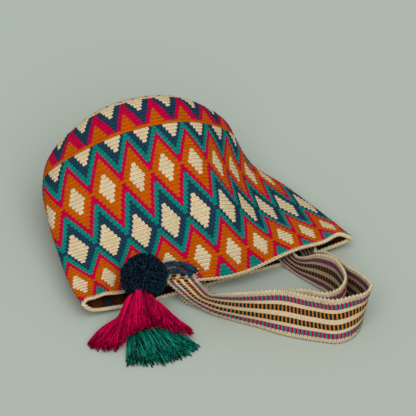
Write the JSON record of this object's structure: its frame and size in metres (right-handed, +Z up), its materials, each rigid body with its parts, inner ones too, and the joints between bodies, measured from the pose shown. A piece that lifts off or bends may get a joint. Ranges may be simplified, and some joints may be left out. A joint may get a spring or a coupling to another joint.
{
  "type": "tote bag",
  "caption": "Crocheted bucket bag lying on its side, with a woven shoulder strap, a braided cord, a pom-pom and two tassels.",
  "frame": {"origin": "bottom centre of the box round the bag and its strap, on the surface that the bag lies on", "axes": "+Z up from that surface; the round base is behind, towards +Y, and the mouth, the strap and the tassels are in front, towards -Y"},
  "size_m": [0.3658, 0.4046, 0.1335],
  "materials": {
    "bag_yarn": "matte tapestry crochet in orange, magenta, teal, navy and beige yarn",
    "strap_yarn": "matte woven band in beige yarn with stripes of small blocks",
    "cord_yarn": "matte braided navy yarn",
    "pompom_yarn": "matte cut navy yarn",
    "green_tassel_yarn": "loose dark green yarn",
    "magenta_tassel_yarn": "loose magenta yarn"
  },
  "bodies": {
    "root": {"bag_body": "bag_yarn", "shoulder_strap": "strap_yarn", "cord_upper_strand": "cord_yarn", "cord_lower_strand": "cord_yarn", "pompom": "pompom_yarn", "tassel_inner": "green_tassel_yarn", "tassel_outer": "magenta_tassel_yarn"}
  },
  "joints": []
}
